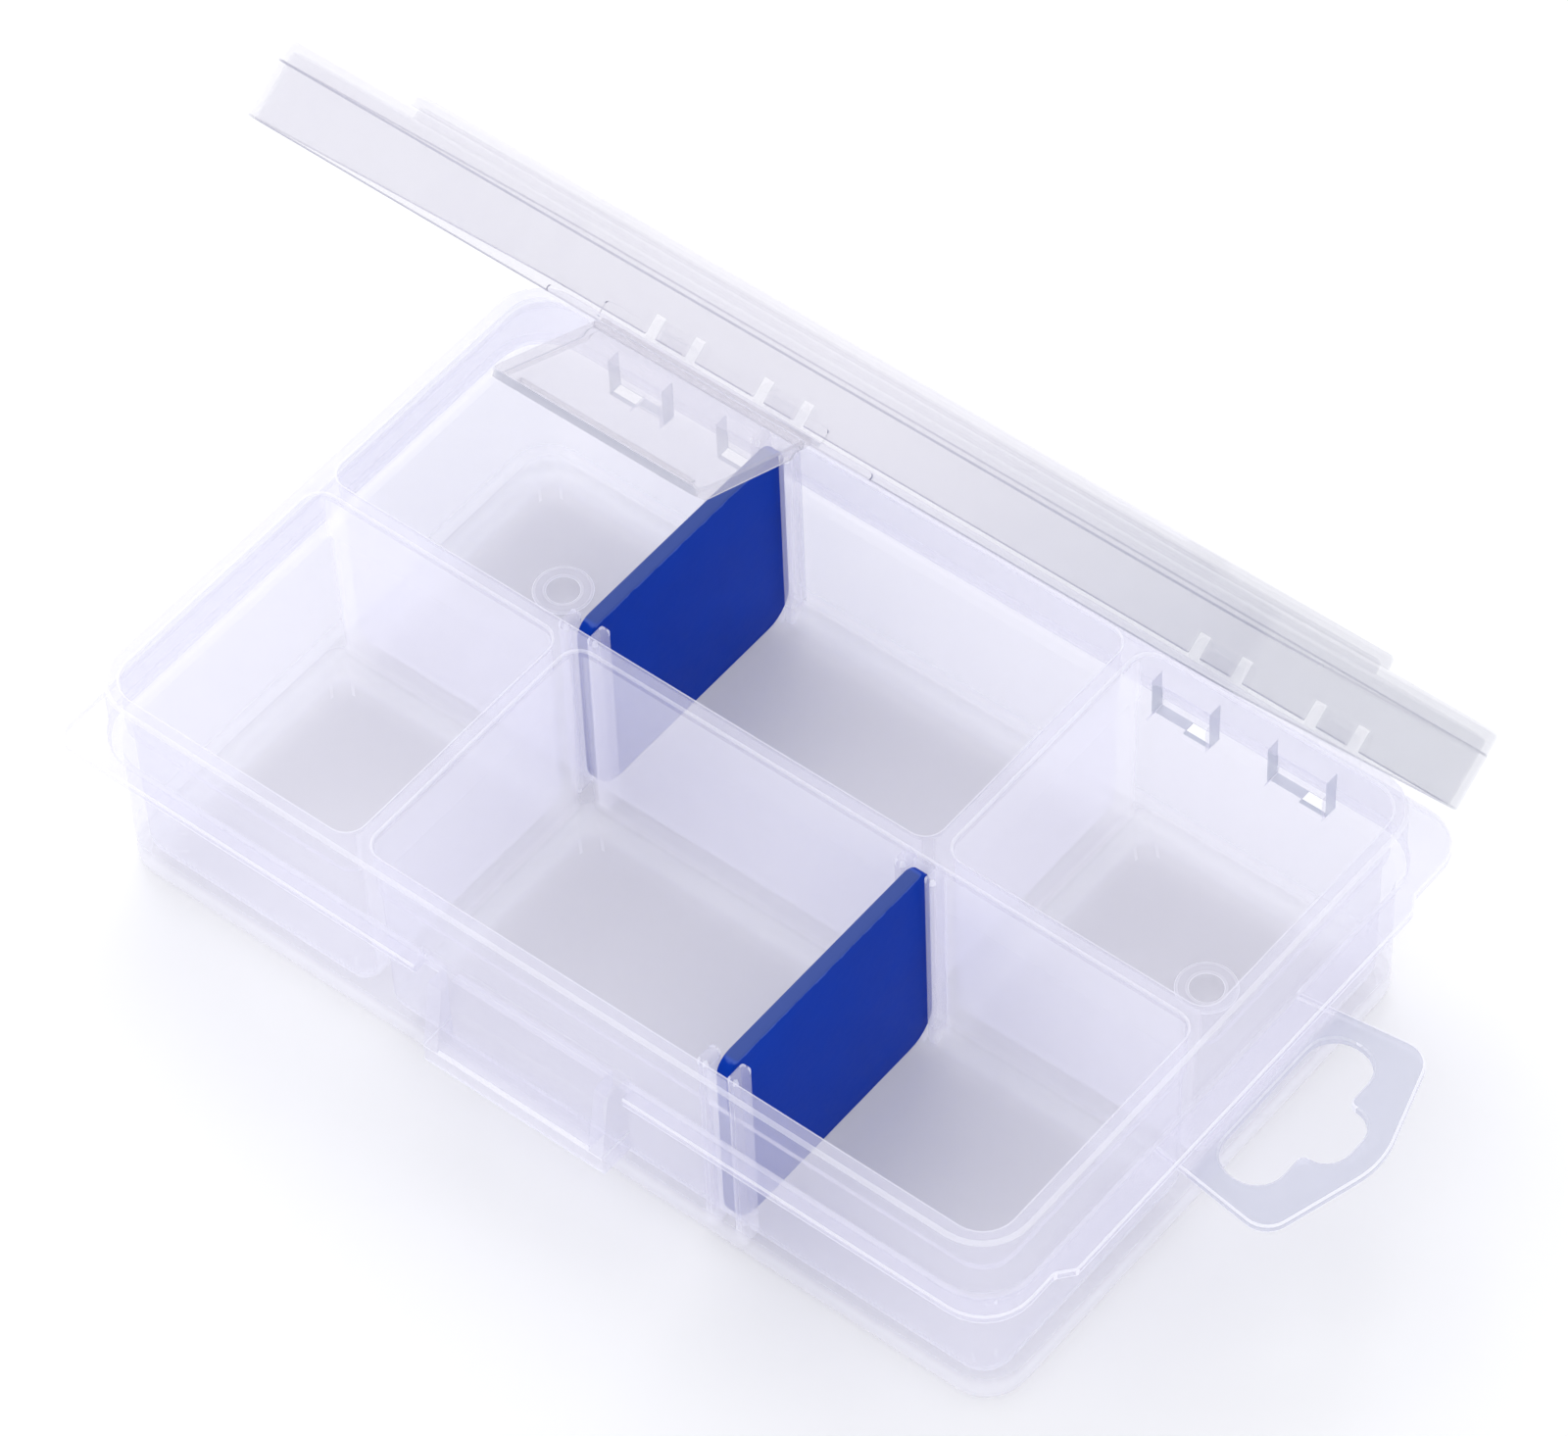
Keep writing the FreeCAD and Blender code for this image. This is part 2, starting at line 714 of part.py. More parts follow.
lid_parts = [
    node("lid_panel", section("lid_panel", lid_shell, both_ways(lid_x), lid_outline_y, (lid_inside, panel_top))),
    node("lid_front_skirt", section("lid_front_skirt", lid_shell, lid_middle_x, lid_front_end, lid_rise)),
    node("lid_back_skirt", cut("lid_back_skirt", back_skirt_blank, fuse("notches", notches))),
    node("lid_left_skirt", section("lid_left_skirt", lid_shell, lid_left, lid_middle_y, lid_rise)),
    node("lid_right_skirt", section("lid_right_skirt", lid_shell, lid_right, lid_middle_y, lid_rise)),
    node("lid_corner_skirts", group("lid_corner_skirts", [
        section(f"lid_corner_{front_name}_{side_name}", lid_shell, across, along, lid_rise)
        for side_name, across in (("left", lid_left), ("right", lid_right))
        for front_name, along in (("front", lid_front_end), ("back", lid_back_end))
    ])),
    node("lid_knuckles", group("lid_knuckles", knuckles)),
]

# ---------------------------------------------------------------- latch, drawn hanging from its hinge line

latch_x = size("latch_width") / 2
face = -size("latch_thickness")
lip = size("latch_lip")
lip_rise = size("latch_thickness") / 2
latch = new_body("latch_flap")
pad(latch, "latch_profile", "YZ_Plane", both_ways(latch_x), [
    (nothing, -size("latch_root"), None),
    (face, -size("latch_root"), None),
    (face, -size("latch_bend"), None),
    (face - lip, -size("latch_length"), None),
    (nothing - lip, -size("latch_length") - lip_rise, None),
    (nothing, -size("latch_bend") - lip_rise, None),
])
hook = new_body("latch_hook")
pad(hook, "hook_profile", "YZ_Plane", both_ways(latch_x - size("hook_setback")), [
    (nothing, -size("hook_start"), None),
    (nothing, -size("hook_end"), None),
    (size("hook_depth"), -size("hook_end") + lip_rise, None),
    (size("hook_depth"), -size("hook_start"), None),
])
web = fuse("latch_living_hinge", [
    block("web_strip", both_ways(latch_x), (-size("web_thickness"), nothing), (-size("latch_root"), nothing)),
    rod("web_bead", both_ways(latch_x), nothing, nothing, size("web_bead")),
])
sides = group("latch_sides", [
    block(f"latch_side_{name}", across, (nothing, size("side_depth")), (-size("side_end"), -size("side_start")))
    for name, across in (("left", (-latch_x, size("side_thickness") - latch_x)),
                         ("right", (latch_x - size("side_thickness"), latch_x)))
])
latch_parts = [
    node("latch_flap", latch),
    node("latch_sides", sides),
    node("latch_hook", hook),
    node("latch_living_hinge", web),
]

# ---------------------------------------------------------------- placements

opening_axis = FreeCAD.Vector(-1, 0, 0)
hinge_line = FreeCAD.Vector(0, hinge_y.value, hinge_z.value)
lid_turn = FreeCAD.Rotation(opening_axis, size("lid_opening").value)
lid_placement = FreeCAD.Placement(hinge_line, lid_turn)
latch_line = FreeCAD.Vector(0, lid_front_y.value - size("latch_out").value, lid_low.value)
latch_turn = FreeCAD.Rotation(opening_axis, size("latch_opening").value)
latch_placement = lid_placement.multiply(FreeCAD.Placement(latch_line, latch_turn))

doc.recompute()
for part in lid_parts:
    part.Placement = lid_placement
for part in latch_parts:
    part.Placement = latch_placement
doc.recompute()

# ---------------------------------------------------------------- checks and files

for item in doc.Objects:
    if "Invalid" in item.State or "Error" in item.State:
        raise RuntimeError(f"{item.Label} failed: {item.State}")

os.makedirs("parts", exist_ok=True)
for part in nodes:
    shape = part.Shape
    if shape.isNull() or not shape.isValid() or not shape.Solids:
        raise RuntimeError(f"{part.Label} has no valid shape")
    shape.exportStep(f"parts/{part.Label}.step")
    box = shape.BoundBox
    print(f"{part.Label:24s} solids {len(shape.Solids)} volume {shape.Volume:9.1f} "
          f"x {box.XMin:7.2f} {box.XMax:7.2f} y {box.YMin:7.2f} {box.YMax:7.2f} z {box.ZMin:7.2f} {box.ZMax:7.2f}")
print(f"latch hinge line at y {latch_placement.Base.y:.6f} z {latch_placement.Base.z:.6f}")
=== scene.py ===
import json
import math

import bmesh
import bpy
from mathutils import Matrix, Vector


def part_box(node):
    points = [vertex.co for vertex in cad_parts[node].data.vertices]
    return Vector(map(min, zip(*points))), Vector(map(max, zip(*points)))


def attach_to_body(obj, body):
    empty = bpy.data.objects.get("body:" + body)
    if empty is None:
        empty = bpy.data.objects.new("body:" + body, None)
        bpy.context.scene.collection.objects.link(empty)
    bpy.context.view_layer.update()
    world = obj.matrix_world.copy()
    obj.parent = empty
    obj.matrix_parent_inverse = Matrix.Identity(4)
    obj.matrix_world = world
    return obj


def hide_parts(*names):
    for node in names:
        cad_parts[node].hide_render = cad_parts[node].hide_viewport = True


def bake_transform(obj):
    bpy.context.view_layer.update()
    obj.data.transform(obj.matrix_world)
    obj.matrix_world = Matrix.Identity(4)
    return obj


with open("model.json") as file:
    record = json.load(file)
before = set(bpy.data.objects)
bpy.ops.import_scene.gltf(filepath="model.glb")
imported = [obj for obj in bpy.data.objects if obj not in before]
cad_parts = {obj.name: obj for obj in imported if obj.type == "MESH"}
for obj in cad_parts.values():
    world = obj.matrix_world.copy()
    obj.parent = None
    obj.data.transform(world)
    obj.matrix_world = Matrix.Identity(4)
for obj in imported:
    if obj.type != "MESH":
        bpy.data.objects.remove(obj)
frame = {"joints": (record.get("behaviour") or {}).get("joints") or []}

# Pocket tackle box: a frosted tub with hinge ears, catch and hanging tab, a clear lid with its latch, and
# two blue dividers.  Shapes are worked out in millimetres and written to the meshes in metres.

MM = 0.001
ARC_STEPS = 7
SMOOTH_ANGLE = math.radians(32)

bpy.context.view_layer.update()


def extent(node):
    """Lowest and highest corner of a frame node, in millimetres."""
    low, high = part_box(node)
    return low / MM, high / MM


floor_high = extent("tub_floor")[1]
centre_high = extent("centre_wall")[1]
cross_low, cross_high = extent("back_cross_wall")
flange_low, flange_high = extent("back_flange")
left_flange_low = extent("left_flange")[0]
right_flange_low, right_flange_high = extent("right_flange")
front_flange_low = extent("front_flange")[0]
tab_low, tab_high = extent("hang_tab")
bar_low, bar_high = extent("catch_bar")
cheek_low, cheek_high = extent("catch_cheeks")
pocket_low, pocket_high = extent("catch_pocket_back")

TUB_X = floor_high.x
TUB_Y = floor_high.y
TUB_CORNER = 6.6
FOOT_ROUND = 2.0
FLOOR_TOP = floor_high.z
RIM_X = right_flange_low.x
RIM_Y = flange_low.y
RIM_TOP = centre_high.z
RIM_CORNER = 8.0
RIM_EDGE = 0.6
BEAD_OUT = 0.5
BEAD_TOP = 28.9
FLANGE_BOTTOM = flange_low.z
FLANGE_TOP = flange_high.z
LEDGE = 29.7
LEDGE_WIDTH = 0.7
UPPER_X = centre_high.x
INNER_X = UPPER_X - LEDGE_WIDTH
UPPER_Y = cross_high.y
INNER_Y = UPPER_Y - LEDGE_WIDTH
HALF_PARTITION = centre_high.y
CROSS_X = (cross_low.x + cross_high.x) / 2
CELL_CORNER = 5.0
PARTITION_CORNER = 3.0
CELL_FILLET = 4.0
FLOOR_CORNER = 2.5
CELL_DRAFT = 0.25
LATCH_GAP = 18.4

HINGE_Y = frame["joints"][0]["pos_m"][1] / MM
HINGE_Z = frame["joints"][0]["pos_m"][2] / MM
LID_OPENING = math.radians(-frame["joints"][0]["range_deg"][0])
LATCH_TURN = math.radians(59.0)
STATION_INNER = 39.0
STATION_PITCH = 20.0
WINDOW_LOW = 24.8
WINDOW_HIGH = 32.2
WINDOW_HALF = 5.0
TONGUE_RADIUS = 2.7
TONGUE_OFFSET = 2.2
STATIONS = (-STATION_INNER - STATION_PITCH, -STATION_INNER, STATION_INNER, STATION_INNER + STATION_PITCH)

LID_X = 82.5
LID_FRONT = -50.7
LID_BACK = 54.65
LID_LOW = 29.2
LID_HEIGHT = 12.0
LID_WALL = 1.2
LID_SKIN = 1.4
LID_CORNER = 8.0
PANEL_INSET = 14.0
PANEL_RISE = 2.0
PANEL_CORNER = 6.0

LATCH_X = 17.4
LATCH_OUT = 0.6
LATCH_THICK = 1.2
LATCH_ROOT = 1.5
LATCH_BEND = 24.2
LATCH_END = 26.5
LATCH_LIP = 1.4
LATCH_CORNER = 4.5
RIB_WIDTH = 1.15
RIB_DEPTH = 0.9
RIB_START = 3.0
RIB_END = 24.0

EDGE_WIDE = 0.50
EDGE_NARROW = 0.22


# ---------------------------------------------------------------- mesh helpers

def arc(centre, radius, start, turn, steps=ARC_STEPS):
    """Points along an arc, both ends included."""
    return [
        (centre[0] + radius * math.cos(start + turn * i / steps),
         centre[1] + radius * math.sin(start + turn * i / steps))
        for i in range(steps + 1)
    ]


def rounded(corners):
    """Closed outline through (x, y, radius) corners, each turned by an arc of that radius."""
    points = []
    for i, (x, y, radius) in enumerate(corners):
        here = Vector((x, y))
        back = (Vector(corners[i - 1][:2]) - here).normalized()
        ahead = (Vector(corners[(i + 1) % len(corners)][:2]) - here).normalized()
        half = back.angle(ahead) / 2
        centre = here + (back + ahead).normalized() * (radius / math.sin(half))
        first = here + back * (radius / math.tan(half)) - centre
        last = here + ahead * (radius / math.tan(half)) - centre
        start = math.atan2(first.y, first.x)
        turn = (math.atan2(last.y, last.x) - start + math.pi) % math.tau - math.pi
        points += arc(centre, radius, start, turn)
    return points


def rectangle(x0, x1, y0, y1, radii):
    """Rounded rectangle; radii run from the (x0, y0) corner anticlockwise."""
    return rounded([(x0, y0, radii[0]), (x1, y0, radii[1]), (x1, y1, radii[2]), (x0, y1, radii[3])])


def centred(half_x, half_y, radius):
    """Rounded rectangle about the middle of the box."""
    return rectangle(-half_x, half_x, -half_y, half_y, [radius] * 4)


def upright(u, v, w):
    """Outline in x and y, layers going up."""
    return (u, v, w)


def along_x(u, v, w):
    """Outline in y and z, layers going right."""
    return (w, u, v)


def towards_front(u, v, w):
    """Outline in x and z, layers going to the front."""
    return (u, -w, v)


def finished(name, shape):
    """A linked object with outward faces."""
    bmesh.ops.recalc_face_normals(shape, faces=shape.faces)
    mesh = bpy.data.meshes.new(name)
    shape.to_mesh(mesh)
    shape.free()
    made = bpy.data.objects.new(name, mesh)
    bpy.context.scene.collection.objects.link(made)
    return made


def stack(name, layers, place=upright):
    """Closed loft through (outline, height) layers that all have the same number of points."""
    shape = bmesh.new()
    rings = [
        [shape.verts.new(Vector(place(u, v, height)) * MM) for u, v in outline]
        for outline, height in layers
    ]
    for low, high in zip(rings, rings[1:]):
        for i in range(len(low)):
            j = (i + 1) % len(low)
            shape.faces.new((low[i], low[j], high[j], high[i]))
    shape.faces.new(list(reversed(rings[0])))
    shape.faces.new(rings[-1])
    return finished(name, shape)


def settle(piece):
    """Turns a piece's modifiers into plain mesh."""
    graph = bpy.context.evaluated_depsgraph_get()
    mesh = bpy.data.meshes.new_from_object(piece.evaluated_get(graph))
    piece.modifiers.clear()
    piece.data = mesh
    return piece


def soften(piece, width, segments=2):
    """Rounds the sharp edges of a piece."""
    bevel = piece.modifiers.new("edges", "BEVEL")
    bevel.width = width * MM
    bevel.segments = segments
    bevel.limit_method = "ANGLE"
    bevel.angle_limit = math.radians(40)
    return settle(piece)


def combine(piece, operation, tools):
    """Joins tools to a piece or cuts them from it, and removes them."""
    for tool in tools:
        step = piece.modifiers.new("shape", "BOOLEAN")
        step.operation = operation
        step.solver = "EXACT"
        step.object = tool
        settle(piece)
        bpy.data.objects.remove(tool)
    return piece


def block(name, x, y, z):
    """A box given by its low and high limit along each axis."""
    outline = [(x[0], y[0]), (x[1], y[0]), (x[1], y[1]), (x[0], y[1])]
    return stack(name, [(outline, z[0]), (outline, z[1])])


def smooth(piece):
    """Merges doubles, shades smooth and keeps real edges sharp."""
    shape = bmesh.new()
    shape.from_mesh(piece.data)
    bmesh.ops.remove_doubles(shape, verts=shape.verts, dist=0.002 * MM)
    bmesh.ops.dissolve_degenerate(shape, edges=shape.edges, dist=0.002 * MM)
    shape.to_mesh(piece.data)
    shape.free()
    piece.data.polygons.foreach_set("use_smooth", [True] * len(piece.data.polygons))
    piece.data.set_sharp_from_angle(angle=SMOOTH_ANGLE)
    return piece


def mark_edges(piece):
    """Stores on every face how far it is a narrow strip along an edge, for the glint of moulded edges."""
    mesh = piece.data
    marks = mesh.attributes.new("edge", "FLOAT", "CORNER")
    for face in mesh.polygons:
        corners = [mesh.vertices[i].co for i in face.vertices]
        longest = max((corners[i - 1] - corners[i]).length for i in range(len(corners)))
        width = face.area / max(longest, 1e-9) / MM
        amount = min(max((EDGE_WIDE - width) / (EDGE_WIDE - EDGE_NARROW), 0), 1)
        for corner in face.loop_indices:
            marks.data[corner].value = amount


def deliver(piece, body, finish, slot, *nodes):
    """Gives a piece its material and its body, and lets it stand for its frame nodes."""
    piece.data.materials.clear()
    piece.data.materials.append(finish)
    smooth(piece)
    mark_edges(piece)
    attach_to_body(piece, body)
    if nodes:
        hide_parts(*nodes)
    return piece


# ---------------------------------------------------------------- repeated pieces

def repeating_tree():
    """Node tree: a line of copies, and the same line once more, turned and shifted."""
    tree = bpy.data.node_groups.new("repeated_pieces", "GeometryNodeTree")
    face = tree.interface
    face.new_socket("Piece", in_out="INPUT", socket_type="NodeSocketGeometry")
    for name, kind in (
        ("Count", "NodeSocketInt"),
        ("Start", "NodeSocketVector"),
        ("Step", "NodeSocketVector"),
        ("Second Turn", "NodeSocketVector"),
        ("Second Shift", "NodeSocketVector"),
        ("Finish", "NodeSocketMaterial"),
    ):
        face.new_socket(name, in_out="INPUT", socket_type=kind)
    face.new_socket("Pieces", in_out="OUTPUT", socket_type="NodeSocketGeometry")
    given = tree.nodes.new("NodeGroupInput")
    line = tree.nodes.new("GeometryNodeMeshLine")
    copies = tree.nodes.new("GeometryNodeInstanceOnPoints")
    second = tree.nodes.new("GeometryNodeTransform")
    joined = tree.nodes.new("GeometryNodeJoinGeometry")
    real = tree.nodes.new("GeometryNodeRealizeInstances")
    painted = tree.nodes.new("GeometryNodeSetMaterial")
    result = tree.nodes.new("NodeGroupOutput")
    for source, target in (
        (given.outputs["Count"], line.inputs["Count"]),
        (given.outputs["Start"], line.inputs["Start Location"]),
        (given.outputs["Step"], line.inputs["Offset"]),
        (line.outputs["Mesh"], copies.inputs["Points"]),
        (given.outputs["Piece"], copies.inputs["Instance"]),
        (copies.outputs["Instances"], second.inputs["Geometry"]),
        (given.outputs["Second Turn"], second.inputs["Rotation"]),
        (given.outputs["Second Shift"], second.inputs["Translation"]),
        (copies.outputs["Instances"], joined.inputs["Geometry"]),
        (second.outputs["Geometry"], joined.inputs["Geometry"]),
        (joined.outputs["Geometry"], real.inputs["Geometry"]),
        (real.outputs["Geometry"], painted.inputs["Geometry"]),
        (given.outputs["Finish"], painted.inputs["Material"]),
        (painted.outputs["Geometry"], result.inputs["Pieces"]),
    ):
        tree.links.new(source, target)
    return tree


def repeated(piece, tree, settings):
    """Replaces a piece by its copies."""
    step = piece.modifiers.new("copies", "NODES")
    step.node_group = tree
    for item in tree.interface.items_tree:
        if item.in_out == "INPUT" and item.name in settings:
            step[item.identifier] = settings[item.name]
    return settle(piece)


def metres(x, y, z):
    """A place or distance in millimetres, as metres."""
    return (x * MM, y * MM, z * MM)


# ---------------------------------------------------------------- materials

class Wire:
    """A node output that takes part in Python expressions."""

    def __init__(self, tree, socket=None):
        self.tree = tree
        self.socket = socket

    def node(self, kind, settings, sources, output=0):
        """Any node: its settings first, then a value or a Wire for each of its sockets."""
        made = self.tree.nodes.new(kind)
        for name, value in settings.items():
            setattr(made, name, value)
        for place, value in sources.items():
            if isinstance(value, Wire):
                self.tree.links.new(value.socket, made.inputs[place])
            else:
                made.inputs[place].default_value = value
        return Wire(self.tree, made.outputs[output])

    def __add__(self, other):
        return maths("ADD", self, other)

    def __radd__(self, other):
        return maths("ADD", other, self)

    def __sub__(self, other):
        return maths("SUBTRACT", self, other)

    def __rsub__(self, other):
        return maths("SUBTRACT", other, self)

    def __mul__(self, other):
        return maths("MULTIPLY", self, other)

    def __rmul__(self, other):
        return maths("MULTIPLY", other, self)

    def __truediv__(self, other):
        return maths("DIVIDE", self, other)

    def __rtruediv__(self, other):
        return maths("DIVIDE", other, self)


def maths(operation, first, second=0.0):
    """A Math node on two values, at least one of them a Wire."""
    wire = first if isinstance(first, Wire) else second
    return wire.node("ShaderNodeMath", {"operation": operation}, {0: first, 1: second})


def rising(value, low, high):
    """0 below low and 1 above high, with a soft step between."""
    return value.node("ShaderNodeMapRange", {"interpolation_type": "SMOOTHSTEP"},
                      {"Value": value, "From Min": low, "From Max": high})


def mixed(amount, first, second):
    """Colour between two colours."""
    return amount.node("ShaderNodeMix", {"data_type": "RGBA"}, {0: amount, 6: first, 7: second}, 2)


def fresh_material(name):
    """A new material with its tree, its shader and the place on the piece."""
    material = bpy.data.materials.new(name)
    material.use_nodes = True
    tree = material.node_tree
    shader = tree.nodes["Principled BSDF"]
    place = Wire(tree).node("ShaderNodeTexCoord", {}, {}, "Object")
    return material, tree, shader, place


def noise(place, scale, detail=3.0):
    """Cloudy values from 0 to 1."""
    return place.node("ShaderNodeTexNoise", {}, {"Vector": place, "Scale": scale, "Detail": detail}, "Fac")


def along(place, axis):
    """Distance along an axis of the model, in millimetres."""
    return place.node("ShaderNodeSeparateXYZ", {}, {"Vector": place}, axis) / MM


def within(value, low, high, soft):
    """1 between two limits, with soft ends."""
    return rising(value, low - soft, low + soft) * (1 - rising(value, high - soft, high + soft))


def attach(tree, shader, values):
    """Links or sets the named sockets of a shader."""
    for name, value in values.items():
        if isinstance(value, Wire):
            tree.links.new(value.socket, shader.inputs[name])
        else:
            shader.inputs[name].default_value = value


def edge_of(place):
    """The narrow-strip and lip marks, used for painted glints and painted edge lines along moulded edges."""
    narrow = place.node("ShaderNodeAttribute", {"attribute_name": "edge"}, {}, "Fac")
    lip = place.node("ShaderNodeAttribute", {"attribute_name": "lip"}, {}, "Fac")
    return maths("MAXIMUM", narrow, lip)


def relief(place, scale, strength):
    """Fine moulded grain."""
    grain = noise(place, scale, 4.0)
    depths = {"Height": grain, "Strength": strength, "Distance": 0.0002}
    return place.node("ShaderNodeBump", {}, depths, "Normal")


def window_shade(depth, from_middle, height):
    """Where the sills and jambs of the hinge windows lie, which look darker than the wall."""
    from_pair = maths("ABSOLUTE", from_middle - (STATION_INNER + STATION_PITCH / 2))
    from_station = maths("ABSOLUTE", from_pair - STATION_PITCH / 2)
    jamb = (within(from_station, WINDOW_HALF - 0.1, WINDOW_HALF + 0.1, 0.05)
            * within(height, WINDOW_LOW, WINDOW_HIGH, 0.1))
    sill = ((1 - rising(from_station, WINDOW_HALF, WINDOW_HALF + 0.1))
            * within(height, WINDOW_LOW - 0.05, WINDOW_LOW + 0.1, 0.04))
    return maths("MAXIMUM", jamb, sill) * within(depth, UPPER_Y + 0.15, RIM_Y + 0.06, 0.05)


def frosted_tub():
    """Milky polypropylene: greyer floor, whiter fillets and partitions, painted shade on tab and window
    edges, painted edge glint and glow.
    """
    material, tree, shader, place = fresh_material("frosted_tub")
    height = along(place, "Z")
    cloud = noise(place, 55.0)
    across = along(place, "X")
    depth = along(place, "Y")
    above_floor = rising(height, 1.85, 2.3)
    fillet = above_floor * (1 - rising(height, 3.4, 7.5))
    from_middle = maths("ABSOLUTE", across)
    inside = (within(across, -UPPER_X - 0.1, UPPER_X + 0.1, 0.05)
              * within(depth, -UPPER_Y - 0.1, UPPER_Y + 0.1, 0.05)
              * within(height, FLOOR_TOP + 0.2, RIM_TOP - 1.2, 0.2))
    edge = edge_of(place) * (1 - inside)
    wall_band = 1.7
    cross_band = within(from_middle, CROSS_X - wall_band, CROSS_X + wall_band, 0.2)
    centre_band = within(depth, -wall_band, wall_band, 0.2)
    partition = maths("MAXIMUM", cross_band, centre_band) * inside
    tab = rising(across, RIM_X + 4, RIM_X + 6)
    window = window_shade(depth, from_middle, height)
    # Painted shade on the tab and in the hinge window sills and jambs.
    shaded = maths("MAXIMUM", tab * 0.55, window)
    grey = (0.78, 0.77, 0.82, 1.0)
    lilac = (0.70, 0.69, 0.81, 1.0)
    pale = (0.93, 0.92, 1.0, 1.0)
    white = (0.97, 0.97, 1.0, 1.0)
    shade = (0.30, 0.34, 0.46, 1.0)
    walls = mixed(partition, mixed(above_floor, grey, lilac), pale)
    colour = mixed(shaded, mixed(fillet * 0.75, walls, white), shade)
    alpha = (0.25 + (1 - above_floor) * 0.16 + fillet * 0.10 + edge * 0.30 + partition * 0.10
             + window * 0.45 + tab * 0.16 + (cloud - 0.5) * 0.03)
    attach(tree, shader, {
        # Narrow edge strips are whitened: a painted glint along the moulded edges.
        "Base Color": mixed(edge * 0.8, colour, white),
        "Alpha": alpha,
        "Roughness": 0.30 + cloud * 0.10,
        "Normal": relief(place, 260.0, 0.02),
        # A faint painted glow, standing in for light that passes through the translucent walls into the
        # compartments.
        "Emission Color": mixed(above_floor, (0.55, 0.55, 0.60, 1.0), (0.80, 0.79, 0.90, 1.0)),
        "Emission Strength": 0.15,
    })
    return material


def clear_moulding(name, opacity, tint, line, line_opacity, right_end_shade):
    """Clearer polypropylene with faint flow clouds and painted edge lines, and painted shade deepening
    towards the right-hand end.
    """
    material, tree, shader, place = fresh_material(name)
    cloud = noise(place, 45.0)
    flow = noise(place, 160.0, 2.0)
    edge = edge_of(place)
    lighter = tuple(channel * 1.12 for channel in tint[:3]) + (1.0,)
    right_end = rising(along(place, "X"), 10.0, LID_X)
    # Painted shade: the colour deepens towards the right-hand end.
    colour = mixed(right_end, mixed(cloud, tint, lighter), right_end_shade)
    attach(tree, shader, {
        # Edge strips take the line colour: painted edge lines standing in for the light and shade a clear
        # moulding shows at its edges.
        "Base Color": mixed(edge, colour, line),
        "Alpha": opacity + (cloud - 0.5) * 0.08 + edge * line_opacity,
        "Roughness": 0.10 + flow * 0.12,
        "Normal": relief(place, 220.0, 0.02),
        "Coat Weight": 1.0,
        "Coat Roughness": 0.05,
        "IOR": 1.6,
    })
    return material


def royal_blue(top):
    """Opaque blue plastic, paler from a ragged line just below its top edge upwards, with painted shade on
    its top face.
    """
    material, tree, shader, place = fresh_material("royal_blue")
    height = along(place, "Z")
    cloud = noise(place, 70.0)
    ragged = noise(place, 420.0, 5.0)
    # Painted shade: the top face is darkened to hold back the light that falls on it from above.
    top_shade_mask = rising(height, top - 0.3, top - 0.1)
    flash = rising(height + (ragged - 0.5) * 1.1, top - 0.55, top - 0.25)
    body = mixed(cloud, (0.0, 0.030, 0.33, 1.0), (0.0, 0.042, 0.42, 1.0))
    top_shaded = mixed(top_shade_mask, body, (0.0, 0.018, 0.22, 1.0))
    attach(tree, shader, {
        "Base Color": mixed(flash * 0.16, top_shaded, (0.35, 0.50, 0.95, 1.0)),
        "Roughness": 0.42 + cloud * 0.16,
        "Normal": relief(place, 650.0, 0.15),
        "Specular IOR Level": 0.06,
    })
    return material


# ---------------------------------------------------------------- tub

def tub_hull():
    """The outside of the tub: rounded foot, wall, rim with its bead, and a rounded top edge."""
    layers = []
    for i in range(ARC_STEPS + 1):
        angle = math.pi / 2 * i / ARC_STEPS
        inset = FOOT_ROUND * (1 - math.sin(angle))
        layers.append((centred(TUB_X - inset, TUB_Y - inset, TUB_CORNER - inset),
                       FOOT_ROUND * (1 - math.cos(angle))))
    layers.append((centred(TUB_X, TUB_Y, TUB_CORNER), FLANGE_BOTTOM))
    layers.append((centred(RIM_X, RIM_Y, RIM_CORNER), FLANGE_BOTTOM))
    middle = (FLANGE_TOP + BEAD_TOP) / 2
    half = (BEAD_TOP - FLANGE_TOP) / 2
    for i in range(-3, 4):
        out = BEAD_OUT * math.cos(math.pi / 2 * i / 3) ** 0.5 if abs(i) < 3 else 0.0
        layers.append((centred(RIM_X + out, RIM_Y + out, RIM_CORNER + out), middle + half * i / 3))
    for i in range(4):
        angle = math.pi / 2 * i / 3
        inset = RIM_EDGE * (1 - math.cos(angle))
        layers.append((centred(RIM_X - inset, RIM_Y - inset, RIM_CORNER - inset),
                       RIM_TOP - RIM_EDGE * (1 - math.sin(angle))))
    return stack("tub_moulding", layers)


